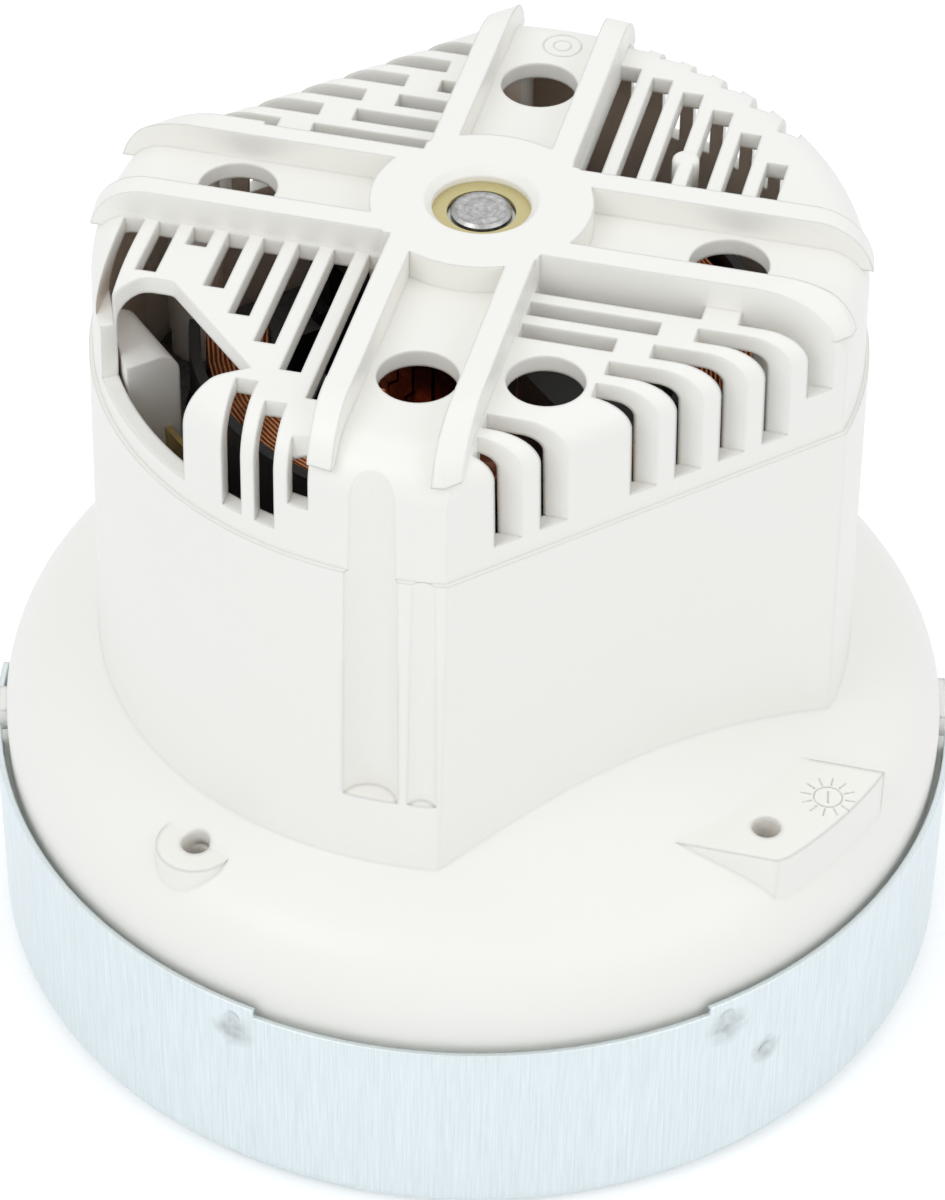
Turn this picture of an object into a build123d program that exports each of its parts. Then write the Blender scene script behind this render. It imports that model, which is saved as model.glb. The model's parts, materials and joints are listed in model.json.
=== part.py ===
from build123d import *
import math
import os

# Vacuum motor unit. The origin is the middle of the cover's flat bottom, +Z runs up the shaft,
# +X along one arm of the top. The pole line of the motor lies halfway between two arms.

# Steel fan cover
cover_radius = 67.5
cover_sheet = 0.8
cover_corner = 3.0
rim_high = 31.5
rim_middle = 30.2
rim_low = 27.0
eye_radius = 21.0
eye_lip_height = 4.2
eye_step_radius = 34.0
eye_step_rise = 1.2
crimp_radius = 1.8
crimp_depth = 0.45
crimp_height = 28.9
dent_height = 18.75
rim_low_angles = [(9.0, 33.0), (43.0, 188.0), (194.0, 199.0)]
rim_middle_angles = (258.5, 311.5)
crimp_angles = [255.8, 313.9]
dent_angle = 319.6

# Housing shell
shell_wall = 2.2
plate_top = 114.8
plate_thickness = 2.4
hub_top = 118.8
parting_height = 97.2
parting_step = 0.6
round_top_radius = 50.4
round_low_radius = 52.1
round_draft = 0.35
round_edge = 6.0
flat_top_distance = 40.9
flat_low_distance = 42.0
flat_draft = 0.3
flat_edge = 4.2
shoulder_height = 48.9
shoulder_slope = 30.0
flange_radius = 65.8
flange_turn = 12.0
flange_bottom = 26.5
flange_lip_top = 28.2

# Arms and hub of the top
arm_half = 9.6
arm_rib = 3.4
arm_end_radius = 51.0
arm_edge = 8.0
arm_root_height = 104.0
hub_radius = 14.5
hub_hole_radius = 6.45
hub_hole_chamfer = 1.0
hub_skirt_bottom = 107.6
arm_hole_radius = 5.18
arm_hole_distance = 32.7
extra_hole_radius = 5.0
extra_hole_x = 15.5
extra_hole_y = 29.5

# Slots of the top: one pitch, with the first slot of each sector at its own place
slot_pitch = 4.68
slot_width = 2.75
slot_gap_to_arm = 0.4
slot_floor = 100.2
slot_floor_beside_arm = 105.0
back_right_first = 11.15
front_right_first = 10.95
back_left_first = 10.35
front_left_first = 10.9
back_right_inner_radius = 41.5
back_right_outer_radius = 46.0
front_right_inner_diagonal = 42.5
front_right_outer_diagonal = 47.2
back_left_inner_diagonal = 42.0
back_left_outer_diagonal = 46.6
front_left_inner_diagonal = 51.2
front_left_short_ends = [13.8, 20.5, 25.6]
front_left_outer_starts = [46.5, 42.0, 38.6]
beside_hole_start = 21.6
pin_boss_radius = 2.5
pin_boss_x = 22.9
pin_boss_y = 18.5
pin_boss_drop = 7.0
pin_boss_recess = 0.8

# Window at the left front
window_floor = 100.2
window_top_y = 21.8
window_diagonal = 56.7
window_tip_x = 20.5
window_bulge_x = 24.6
window_bulge_y = 39.0
window_rib_x = 27.7
window_rib_y = 42.4
window_side_x = 38.5
window_edge_x = 43.0
window_edge_y = 25.0
window_out_x = 62.0
window_out_y = 37.3
window_round = 1.5
window_side_round = 4.0

# Grooves down the front of the wall
groove_bottom = 60.0
groove_half = 3.55
groove_depth = 2.3
groove_floor_y = 49.2
groove_x = -1.25
small_groove_half = 1.8
small_groove_depth = 0.9
small_groove_floor_y = 50.5
small_groove_x = 5.7
groove_backing_half = 6.5

# Raised places of the flange, with their screw holes
screw_circle = 57.6
screw_hole_radius = 1.95
screw_hole_depth = 8.0
plateau_height = 48.5
plateau_outer = 63.6
plateau_front_y = 38.2
plateau_root_x = 26.6
plateau_corner_x = 50.4
plateau_side_x = 58.6
plateau_side_y = 30.4
plateau_end_y = 18.0
plateau_screw_angle = -34.2
post_height = 46.0
post_radius = 5.3
post_screw_angle = 244.2
post_inner_radius = 4.2
post_foot = 38.0
tab_outer = 67.1
tab_low = 30.0
tab_high = 33.6
tab_angles = [(9.5, 16.5), (194.3, 198.7)]

# Screw bosses under the flange for the bearing bridge
boss_radius = 3.6
boss_circle = 57.0
boss_count = 4
boss_bottom = 30.0
bridge_screw_radius = 1.5
bridge_screw_length = 10.0
bridge_head_radius = 2.9
bridge_head_height = 1.6

# Bearings, shared by both ends
bearing_bore = 4.0
bearing_outer = 11.0
bearing_width = 7.0
inner_ring_outer = 6.1
outer_ring_inner = 9.2
ball_radius = 1.985
ball_circle = 7.55
ball_count = 7
ball_gap = 0.04
ring_corner = 0.3
upper_bearing_bottom = 109.2
lower_bearing_bottom = 30.5
damper_thickness = 1.0
cap_inner = 4.5
cap_outer = 11.6
cap_thickness = 0.7
cap_relief = 0.25
cap_foot = 2.0
cage_wall = 1.2
cage_drop = 2.7
cage_rise = 0.6

# Bearing bridge
bridge_rim_outer = 61.5
bridge_rim_inner = 53.0
bridge_rim_bottom = 27.5
bridge_hub_radius = 14.0
bridge_hub_top = 38.5
bridge_arm_half = 4.5
bridge_floor_hole = 8.0

# Shaft and the rotor on it
shaft_top = 117.4
shaft_bottom = 7.6
shaft_journal = 4.0
shaft_body = 5.0
shaft_end_chamfer = 0.4
core_bottom = 52.0
core_top = 82.0
rotor_radius = 22.0
rotor_slot_count = 12
rotor_slot_radius = 3.3
rotor_slot_circle = 16.6
rotor_slot_mouth = 1.8
winding_bar_radius = 2.9
end_disc_thickness = 1.0
end_disc_radius = 20.6
end_turn_outer = 20.4
end_turn_inner = 6.6
end_turn_height = 8.6
end_turn_round = 3.2
sleeve_radius = 6.0
commutator_bottom = 92.2
commutator_top = 106.0
commutator_radius = 12.5
commutator_hub_radius = 9.0
bar_count = 24
bar_bottom = 92.4
bar_top = 105.4
bar_gap = 0.5
riser_radius = 13.9
riser_height = 1.7

# Stator
air_gap = 0.6
stator_flat = 38.3
stator_round = 46.6
stator_opening_round = 39.5
stator_opening_flat = 28.4
pole_half = 12.0
shoe_thickness = 3.2
shoe_angle = 57.0
bolt_radius = 2.0
bolt_clearance = 0.2
bolt_x = 24.5
bolt_y = 33.4
bolt_head_radius = 3.6
bolt_head_height = 2.6
bolt_top = 96.0
bolt_post_radius = 3.6
bolt_web_half = 1.5

# Field coils: a plain core under an outer layer of wire, bent round the rotor
coil_angle = 30.0
coil_near = 27.7
coil_far = 36.2
coil_half_height = 28.2
coil_half_opening = 17.5
coil_side = 9.3
coil_side_inner = 2.0
coil_side_round = 9.1
wire_radius = 0.33
wire_seat = 0.3
wire_pitch = 1.1
wire_loops = 8
wire_first = 28.1
gap_samples = 9

# Black formers of the field coils
former_near = 26.2
former_far = 38.3
former_wall = 1.4
former_liner = 0.9
former_floor = 2.2
former_outer_rise = 16.0
former_outer_angle = 33.0
former_inner_rise = 10.0
former_inner_angle = 48.0

# Brushes with their tubes and holders
brush_width = 6.3
brush_height = 9.0
brush_length = 15.0
brush_gap = 0.05
brush_middle = 99.4
tube_wall = 0.6
tube_clearance = 0.1
tube_inner_end = 15.6
tube_outer_end = 36.6
tube_cap_thickness = 1.0
holder_wall = 2.0
holder_inner_end = 19.0
holder_outer_end = 35.2
holder_pillar_start = 30.0
holder_foot_start = 29.0
holder_foot_half = 8.0
holder_foot_thickness = 2.0
spring_wire = 0.4
spring_radius = 2.4
spring_turns = 5
spring_play = 0.3

# Terminal block and its blades, just inside the window
block_radius = 48.0
block_near = 39.4
block_face_y = 9.8
block_back_y = 21.5
block_top = 103.0
block_corner = 3.2
blade_thickness = 0.8
blade_width = 6.3
blade_reach = 8.0
blade_root = 5.0
blade_bottom = 85.0
blade_places = [41.0, 44.6]

# Impeller and diffuser
impeller_radius = 53.0
impeller_sheet = 0.8
impeller_back_bottom = 17.4
impeller_eye = 22.6
impeller_neck_bottom = 3.0
impeller_front_low = 6.4
impeller_front_high = 11.2
impeller_vane_count = 7
impeller_vane_start = 19.0
impeller_vane_thickness = 0.9
impeller_vane_angle = 62.0
spacer_radius = 6.4
washer_radius = 11.0
washer_thickness = 1.4
nut_flats = 13.0
nut_height = 6.0
diffuser_radius = 60.4
diffuser_plate_bottom = 20.4
diffuser_plate_thickness = 1.8
guide_inner = 55.2
guide_outer = 63.4
guide_count = 15
guide_thickness = 1.3
guide_angle = 9.0
return_count = 9
return_inner = 19.0
return_outer = 59.0
return_angle = 48.0
return_thickness = 1.4
diffuser_hole = 8.0
# How far round its angle a vane has come at half its run
lean_share = 0.42

# One overrun serves every cut
overrun = 4.0

POLE_TURN = 45.0
QUARTER_TURN = 90.0
HALF_TURN = 180.0
LOW = (Align.CENTER, Align.CENTER, Align.MIN)


def disc(radius, bottom, top):
    """A plain round on the shaft's axis."""
    return Pos(0, 0, bottom) * Cylinder(radius, top - bottom, align=LOW)


def tube(inner, outer, bottom, top):
    """A round with a bore, on the shaft's axis."""
    return disc(outer, bottom, top) - disc(inner, bottom - overrun, top + overrun)


def block(x_low, x_high, y_low, y_high, bottom, top):
    """A box between six planes."""
    low = (Align.MIN, Align.MIN, Align.MIN)
    return Pos(x_low, y_low, bottom) * Box(x_high - x_low, y_high - y_low, top - bottom, align=low)


def rod(radius, x, y, bottom, top):
    """An upright round away from the shaft's axis."""
    return Pos(x, y, bottom) * Cylinder(radius, top - bottom, align=LOW)


def outline(*corners):
    """A closed flat outline, each corner given with its rounding."""
    points = [(x, y) for x, y, _ in corners]
    return make_face(FilletPolyline(*points, radius=[r for _, _, r in corners], close=True))


def turned(*corners, angle=360.0):
    """Revolves an outline of radius, height and rounding about the shaft's axis."""
    return revolve(Plane.XZ * outline(*corners), Axis.Z, revolution_arc=angle)


def sector(inner, outer, bottom, top, angles):
    """A stretch of ring between two angles."""
    start, end = angles
    section = turned(
        (inner, bottom, 0), (outer, bottom, 0), (outer, top, 0), (inner, top, 0), angle=end - start)
    return Rot(0, 0, start) * section


def polar(radius, angle):
    """A place in plan at a radius and an angle in degrees."""
    return radius * math.cos(math.radians(angle)), radius * math.sin(math.radians(angle))


def around(shape, count):
    """Copies of a shape, evenly spaced about the shaft's axis."""
    return [Rot(0, 0, 2 * HALF_TURN / count * place) * shape for place in range(count)]


def on_pole_line(shape, front=False):
    """Turns a piece modelled along +X to the rear pole, or to the front one."""
    return Rot(0, 0, POLE_TURN + (HALF_TURN if front else 0.0)) * shape


def on_brush_line(shape, right=False):
    """Turns a piece modelled along +X to the left brush, or to the right one."""
    return Rot(0, 0, POLE_TURN + QUARTER_TURN + (HALF_TURN if right else 0.0)) * shape


# Housing

def wall_run(low, high, draft, edge, inset, plate):
    """Corners of distance and height up a wall, from the flange to the plate."""
    step = [] if inset else [(high + draft + parting_step, parting_height, 0)]
    return [
        (low - inset, flange_bottom, 0), (low - inset, shoulder_height, 0), *step,
        (high + draft - inset, parting_height, 0), (high - inset, plate_top - plate, edge - inset)]


def round_wall(inset, plate):
    """The round body of the housing as a solid, set in by a wall."""
    run = wall_run(round_low_radius, round_top_radius, round_draft, round_edge, inset, plate)
    return turned((0, flange_bottom, 0), *run, (0, plate_top - plate, 0))


def flat_sides(inset, plate):
    """What lies between the two flat sides, set in by a wall."""
    run = wall_run(flat_low_distance, flat_top_distance, flat_draft, flat_edge, inset, plate)
    mirrored = [(-x, z, rounding) for x, z, rounding in reversed(run)]
    slab = extrude(Plane.YZ * outline(*run, *mirrored), cover_radius, both=True)
    return Rot(0, 0, POLE_TURN) * slab


def shoulder(inset):
    """The flange as a solid: a sloping shoulder that turns down into the cover."""
    slope = math.tan(math.radians(shoulder_slope))
    sunk = inset / math.cos(math.radians(shoulder_slope))
    bottom = flange_bottom - (overrun if inset else 0.0)
    outer = flange_radius - inset
    root = flat_top_distance - inset
    top = shoulder_height + (round_low_radius - root) * slope - sunk
    corner = shoulder_height - (outer - round_low_radius) * slope - sunk
    return turned(
        (0, bottom, 0), (outer, bottom, 0), (outer, corner, flange_turn - inset), (root, top, 0), (0, top, 0))


def raised_places():
    """The flat plateau at the right front and the round post at the left front."""
    plan = make_face(Polyline(
        (plateau_root_x, -plateau_front_y), (plateau_corner_x, -plateau_front_y),
        (plateau_side_x, -plateau_side_y), (cover_radius, -plateau_side_y), (cover_radius, -plateau_end_y),
        (plateau_root_x, -plateau_end_y), close=True))
    plateau = extrude(Pos(0, 0, flange_bottom) * plan, plateau_height - flange_bottom)
    plateau = plateau & disc(plateau_outer, flange_bottom, plateau_height)
    return plateau + rod(post_radius, *polar(screw_circle, post_screw_angle), flange_bottom, post_height)


def screw_posts():
    """Posts inside the shoulder, under its two screw holes."""
    plateau_x, plateau_y = polar(screw_circle, plateau_screw_angle)
    post_x, post_y = polar(screw_circle, post_screw_angle)
    return (
        rod(post_inner_radius, plateau_x, plateau_y, post_foot, plateau_height - shell_wall)
        + rod(post_inner_radius, post_x, post_y, post_foot, post_height - shell_wall))


def screw_holes():
    """The two blind holes of the flange."""
    plateau_x, plateau_y = polar(screw_circle, plateau_screw_angle)
    post_x, post_y = polar(screw_circle, post_screw_angle)
    return (
        rod(screw_hole_radius, plateau_x, plateau_y, plateau_height - screw_hole_depth, hub_top)
        + rod(screw_hole_radius, post_x, post_y, post_height - screw_hole_depth, hub_top))


def bridge_bosses():
    """Bosses under the shoulder that take the screws of the bearing bridge."""
    boss = rod(boss_radius, boss_circle, 0, boss_bottom, shoulder_height)
    boss = boss & shoulder(0.0)
    boss -= rod(bridge_screw_radius, boss_circle, 0, boss_bottom - overrun, boss_bottom + bridge_screw_length)
    return around(boss, boss_count)


def bolt_places():
    """Plan places of the four stator bolts, before the turn to the pole line."""
    return [(x, y) for x in (bolt_x, -bolt_x) for y in (bolt_y, -bolt_y)]


def bolt_posts():
    """Posts from the top plate down onto the stator, joined to the flat sides."""
    posts = []
    top = plate_top - plate_thickness / 2
    for x, y in bolt_places():
        low, high = sorted((y, math.copysign(flat_low_distance, y)))
        post = rod(bolt_post_radius, x, y, core_top, top)
        post += block(x - bolt_web_half, x + bolt_web_half, low, high, core_top, top)
        posts.append(post - rod(bolt_radius, x, y, core_top - overrun, bolt_top))
    return on_pole_line(Part() + posts)


def arm_tops():
    """The hub and the rails of the four arms, rounded down at their ends."""
    envelope = turned(
        (0, arm_root_height, 0), (arm_end_radius, arm_root_height, 0),
        (arm_end_radius, hub_top, arm_edge), (0, hub_top, 0))
    flat = flat_top_distance + flat_draft
    side = outline(
        (-flat, arm_root_height, 0), (flat, arm_root_height, 0), (flat, hub_top, arm_edge),
        (-flat, hub_top, arm_edge))
    envelope = envelope & Rot(0, 0, POLE_TURN) * extrude(Plane.YZ * side, cover_radius, both=True)
    root = plate_top - plate_thickness
    rails = disc(hub_radius, root, hub_top)
    for low, high in ((arm_half - arm_rib, arm_half), (-arm_half, arm_rib - arm_half)):
        rail = block(-cover_radius, cover_radius, low, high, root, hub_top)
        rails += rail + Rot(0, 0, QUARTER_TURN) * rail
    return envelope & rails


def slot_box(along, middle, start, end, floor):
    """One slot through the plate, along X or along Y, from start to end."""
    low, high = middle - slot_width / 2, middle + slot_width / 2
    near, far = min(start, end), max(start, end)
    if along == "x":
        return block(near, far, low, high, floor, hub_top + overrun)
    return block(low, high, near, far, floor, hub_top + overrun)


def back_right_slots(arm, through):
    """Slots along Y whose ends lie on circles."""
    for place in range(6):
        x = back_right_first + slot_pitch * place
        yield slot_box("y", x, arm, math.sqrt(back_right_inner_radius ** 2 - x ** 2), through)
        floor = slot_floor if place else slot_floor_beside_arm
        yield slot_box("y", x, math.sqrt(back_right_outer_radius ** 2 - x ** 2), cover_radius, floor)


def front_right_slots(arm, through):
    """Slots along X: three inside the diagonal bar and seven over the flat side."""
    for place in range(8):
        y = front_right_first + slot_pitch * place
        if place < 3:
            yield slot_box("x", -y, arm, front_right_inner_diagonal - y, through)
        start = beside_hole_start if place == 4 else max(front_right_outer_diagonal - y, arm)
        floor = slot_floor if place else slot_floor_beside_arm
        if place != 5:
            yield slot_box("x", -y, start, cover_radius, floor)


def back_left_slots(arm, through):
    """Slots along X: five inside the diagonal bar and six over the flat side."""
    for place in range(7):
        y = back_left_first + slot_pitch * place
        if place < 5:
            yield slot_box("x", y, -arm, y - back_left_inner_diagonal, through)
        if place:
            yield slot_box("x", y, min(y - back_left_outer_diagonal, -arm), -cover_radius, slot_floor)


def front_left_slots(arm, through):
    """Slots along Y: five inside the diagonal bar, three short ones, and three down the wall."""
    for place in range(8):
        x = front_left_first + slot_pitch * place
        end = front_left_inner_diagonal - x if place < 5 else front_left_short_ends[place - 5]
        yield slot_box("y", -x, -arm, -end, through)
    for place, start in enumerate(front_left_outer_starts):
        x = front_left_first + slot_pitch * place
        floor = slot_floor if place else slot_floor_beside_arm
        yield slot_box("y", -x, -start, -cover_radius, floor)


def slots():
    """Every slot of the top, as one list of cutters."""
    arm = arm_half + slot_gap_to_arm
    through = plate_top - plate_thickness - overrun
    sectors = (back_right_slots, front_right_slots, back_left_slots, front_left_slots)
    return [cutter for sector_slots in sectors for cutter in sector_slots(arm, through)]


def window():
    """The wide opening at the left front, for the terminals."""
    shape = outline(
        (window_top_y - window_diagonal, -window_top_y, window_round),
        (-window_tip_x, window_tip_x - window_diagonal, 0),
        (-window_bulge_x, -window_bulge_y, window_side_round), (-window_rib_x, -window_rib_y, 0),
        (-window_rib_x, -cover_radius, 0), (-cover_radius, -cover_radius, 0),
        (-window_out_x, -window_out_y, 0), (-window_edge_x, -window_edge_y, 0),
        (-window_side_x, -window_top_y, window_side_round))
    return extrude(Pos(0, 0, window_floor) * shape, hub_top - window_floor)


def groove(x, half, depth, floor_y):
    """An upright hollow down the front of the wall."""
    radius = (half ** 2 + depth ** 2) / (2 * depth)
    return rod(radius, x, -floor_y - radius, groove_bottom, hub_top + overrun)


def motor_housing():
    """The white moulding: round body with two flat sides, arms, slots, window and flange."""
    body = round_wall(0.0, 0.0) & flat_sides(0.0, 0.0)
    outside = body + shoulder(0.0) + raised_places() + arm_tops()
    hollow = (round_wall(shell_wall, plate_thickness) & flat_sides(shell_wall, plate_thickness))
    hollow = hollow + shoulder(shell_wall)
    housing = outside - hollow
    pocket = bearing_outer + damper_thickness
    backing = block(
        groove_x - groove_backing_half, groove_x + groove_backing_half, -cover_radius,
        shell_wall - groove_floor_y, groove_bottom - shell_wall, plate_top - plate_thickness / 2)
    housing += [(bolt_posts() + backing) & body, screw_posts(), *bridge_bosses()]
    housing += tube(pocket, hub_radius, hub_skirt_bottom, plate_top)
    housing += rod(pin_boss_radius, pin_boss_x, pin_boss_y, plate_top - pin_boss_drop, plate_top - pin_boss_recess)
    housing += tube(flange_radius - shell_wall, cover_radius - cover_sheet, flange_bottom, flange_lip_top)
    for angles in tab_angles:
        housing += sector(flange_radius - shell_wall, tab_outer, tab_low, tab_high, angles)
    cutters = [
        groove(groove_x, groove_half, groove_depth, groove_floor_y),
        groove(small_groove_x, small_groove_half, small_groove_depth, small_groove_floor_y),
        window(), screw_holes(),
        disc(hub_hole_radius, hub_skirt_bottom, hub_top + overrun),
        disc(pocket, hub_skirt_bottom - overrun, upper_bearing_bottom + bearing_width + cap_thickness),
        rod(extra_hole_radius, extra_hole_x, -extra_hole_y, hub_skirt_bottom, hub_top + overrun)]
    cutters += around(rod(arm_hole_radius, arm_hole_distance, 0, hub_skirt_bottom, hub_top + overrun), 4)
    housing -= cutters
    countersink = turned(
        (0, hub_top - hub_hole_chamfer, 0), (hub_hole_radius, hub_top - hub_hole_chamfer, 0),
        (hub_hole_radius + hub_hole_chamfer, hub_top, 0), (0, hub_top, 0))
    return housing - countersink - slots()


# Fan cover

def fan_cover():
    """The pressed steel cup with its rolled eye, stepped rim, crimps and a dent."""
    outer = turned(
        (0, 0, 0), (cover_radius, 0, cover_corner), (cover_radius, rim_high, 0), (0, rim_high, 0))
    inner_corner = cover_corner - cover_sheet
    hollow = turned(
        (0, cover_sheet, 0), (cover_radius - cover_sheet, cover_sheet, inner_corner),
        (cover_radius - cover_sheet, rim_high + overrun, 0), (0, rim_high + overrun, 0))
    raised = disc(eye_step_radius, cover_sheet, cover_sheet + eye_step_rise)
    cup = outer - hollow + raised
    cup -= disc(eye_step_radius - cover_sheet, -overrun, eye_step_rise)
    cup += disc(eye_radius + cover_sheet, eye_step_rise, eye_lip_height)
    cup -= disc(eye_radius, -overrun, eye_lip_height + overrun)
    lowered = [(angles, rim_low) for angles in rim_low_angles] + [(rim_middle_angles, rim_middle)]
    for angles, top in lowered:
        cup -= sector(eye_step_radius, cover_radius + overrun, top, rim_high + overrun, angles)
    places = [(angle, crimp_height) for angle in crimp_angles] + [(dent_angle, dent_height)]
    for angle, height in places:
        x, y = polar(cover_radius + crimp_radius - crimp_depth, angle)
        cup -= Pos(x, y, height) * Sphere(crimp_radius)
    return cup


# Bearings

def ball_groove(bottom):
    """The ring of air that the balls of a bearing run in."""
    ring = Plane.XZ * (Pos(ball_circle, bottom + bearing_width / 2) * Circle(ball_radius + ball_gap))
    return revolve(ring, Axis.Z)


def outer_ring(bottom):
    """Outer ring of a ball bearing."""
    ring = tube(outer_ring_inner, bearing_outer, bottom, bottom + bearing_width)
    return ring - ball_groove(bottom)


def inner_ring(bottom):
    """Inner ring of a ball bearing."""
    ring = tube(bearing_bore, inner_ring_outer, bottom, bottom + bearing_width)
    return ring - ball_groove(bottom)


def balls(bottom):
    """The balls of a bearing."""
    return around(Pos(ball_circle, 0, bottom + bearing_width / 2) * Sphere(ball_radius), ball_count)


def cage(bottom):
    """The crown that spaces the balls of a bearing."""
    middle = bottom + bearing_width / 2
    crown = tube(
        ball_circle - cage_wall / 2, ball_circle + cage_wall / 2, middle - cage_drop, middle + cage_rise)
    return crown - balls(bottom)


def bearing_cap():
    """The straw coloured ring that shows in the hub's hole and holds the upper bearing."""
    bottom = upper_bearing_bottom + bearing_width
    ring = tube(cap_inner, cap_outer, bottom, bottom + cap_thickness)
    return ring - disc(cap_outer - cap_foot, bottom - overrun, bottom + cap_relief)


def bearing_bridge():
    """The cast bridge that carries the lower bearing between diffuser and housing."""
    bridge = tube(bridge_rim_inner, bridge_rim_outer, bridge_rim_bottom, boss_bottom)
    bridge += block(-bridge_rim_inner, bridge_rim_inner, -bridge_arm_half, bridge_arm_half,
                    bridge_rim_bottom, boss_bottom)
    bridge += block(-bridge_arm_half, bridge_arm_half, -bridge_rim_inner, bridge_rim_inner,
                    bridge_rim_bottom, boss_bottom)
    bridge += disc(bridge_hub_radius, bridge_rim_bottom, bridge_hub_top)
    bridge -= disc(bearing_outer, lower_bearing_bottom, bridge_hub_top + overrun)
    bridge -= disc(bridge_floor_hole, bridge_rim_bottom - overrun, bridge_hub_top)
    hole = rod(bridge_screw_radius, boss_circle, 0, bridge_rim_bottom, boss_bottom + overrun)
    hole += rod(bridge_head_radius, boss_circle, 0, bridge_rim_bottom - overrun,
                bridge_rim_bottom + bridge_head_height)
    return bridge - around(hole, boss_count)


def bridge_screws():
    """The four screws of the bearing bridge."""
    neck = bridge_rim_bottom + bridge_head_height
    screw = rod(bridge_head_radius, boss_circle, 0, bridge_rim_bottom, neck)
    screw += rod(bridge_screw_radius, boss_circle, 0, neck, boss_bottom + bridge_screw_length)
    return around(screw, boss_count)


# Shaft and rotor

def shaft():
    """The shaft, thicker between its two bearings."""
    lower_seat = lower_bearing_bottom + bearing_width
    return turned(
        (0, shaft_bottom, 0), (shaft_journal - shaft_end_chamfer, shaft_bottom, 0),
        (shaft_journal, shaft_bottom + shaft_end_chamfer, 0), (shaft_journal, lower_seat, 0),
        (shaft_body, lower_seat, 0), (shaft_body, upper_bearing_bottom, 0),
        (shaft_journal, upper_bearing_bottom, 0), (shaft_journal, shaft_top - shaft_end_chamfer, 0),
        (shaft_journal - shaft_end_chamfer, shaft_top, 0), (0, shaft_top, 0))


def rotor_core():
    """The laminated rotor with its slots."""
    core = tube(shaft_body, rotor_radius, core_bottom, core_top)
    slot = rod(rotor_slot_radius, rotor_slot_circle, 0, core_bottom - overrun, core_top + overrun)
    slot += block(rotor_slot_circle, rotor_radius + overrun, -rotor_slot_mouth / 2, rotor_slot_mouth / 2,
                  core_bottom - overrun, core_top + overrun)
    return core - around(slot, rotor_slot_count)


def end_disc(bottom):
    """An insulating disc on an end of the rotor core."""
    plate = tube(shaft_body, end_disc_radius, bottom, bottom + end_disc_thickness)
    hole = rod(rotor_slot_radius, rotor_slot_circle, 0, bottom - overrun, bottom + overrun)
    return plate - around(hole, rotor_slot_count)


def armature_winding():
    """The rotor's winding: a bundle at each end and a bar in each slot."""
    low = core_bottom - end_disc_thickness
    high = core_top + end_disc_thickness
    winding = turned(
        (end_turn_inner, high, 0), (end_turn_outer, high, 0),
        (end_turn_outer, high + end_turn_height, end_turn_round),
        (end_turn_inner, high + end_turn_height, end_turn_round))
    winding += turned(
        (end_turn_inner, low - end_turn_height, end_turn_round),
        (end_turn_outer, low - end_turn_height, end_turn_round),
        (end_turn_outer, low, 0), (end_turn_inner, low, 0))
    return winding + around(rod(winding_bar_radius, rotor_slot_circle, 0, low, high), rotor_slot_count)


def commutator_bars():
    """The copper bars of the commutator, each with its riser."""
    ring = tube(commutator_hub_radius, commutator_radius, bar_bottom, bar_top)
    ring += tube(commutator_hub_radius, riser_radius, bar_bottom, bar_bottom + riser_height)
    gap = block(0, cover_radius, -bar_gap / 2, bar_gap / 2, bar_bottom - overrun, bar_top + overrun)
    return ring - around(gap, bar_count)


# Stator and field coils

def stator_core():
    """The laminated stator: yoke, two poles and their shoes."""
    flat = block(-stator_round, stator_round, -stator_flat, stator_flat, core_bottom, core_top)
    yoke = disc(stator_round, core_bottom, core_top) & flat
    opening = disc(stator_opening_round, core_bottom, core_top) & block(
        -stator_round, stator_round, -stator_opening_flat, stator_opening_flat, core_bottom, core_top)
    bore = rotor_radius + air_gap
    shoe = sector(bore, bore + shoe_thickness, core_bottom, core_top, (-shoe_angle, shoe_angle))
    pole = block(bore, stator_opening_round + overrun, -pole_half, pole_half, core_bottom, core_top)
    poles = pole + Rot(0, 0, HALF_TURN) * pole + shoe + Rot(0, 0, HALF_TURN) * shoe
    stator = yoke - opening + poles - disc(bore, core_bottom - overrun, core_top + overrun)
    holes = [
        rod(bolt_radius + bolt_clearance, x, y, core_bottom - overrun, core_top + overrun)
        for x, y in bolt_places()]
    return on_pole_line(stator - holes)


def stator_bolts():
    """The four bolts that hold the stator to the housing's posts."""
    bolts = []
    for x, y in bolt_places():
        bolt = rod(bolt_radius, x, y, core_bottom, bolt_top)
        bolts.append(on_pole_line(bolt + rod(
            bolt_head_radius, x, y, core_bottom - bolt_head_height, core_bottom)))
    return bolts


def both_ends(shape):
    """A shape above the middle of the core, with its mirror image below."""
    middle = (core_top + core_bottom) / 2
    return [shape, mirror(shape, Plane.XY.offset(middle))]


def coil_core():
    """The plain inner part of a field coil, along +X."""
    middle = (core_top + core_bottom) / 2
    outer = outline(
        (0, -coil_half_height, 0), (coil_side, -coil_half_height, coil_side_round),
        (coil_side, coil_half_height, coil_side_round), (0, coil_half_height, 0))
    opening = outline(
        (0, -coil_half_opening, 0), (coil_side_inner, -coil_half_opening, 0),
        (coil_side_inner, coil_half_opening, 0), (0, coil_half_opening, 0))
    ring = Plane.YZ * (outer - opening)
    side = Pos(coil_near, 0, middle) * extrude(ring, coil_far - coil_near)
    side = Rot(0, 0, coil_angle) * side
    ends = both_ends(sector(
        coil_near, coil_far, middle + coil_half_opening, middle + coil_half_height,
        (-coil_angle, coil_angle)))
    return Part() + [side, mirror(side, Plane.XZ), *ends]


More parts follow.
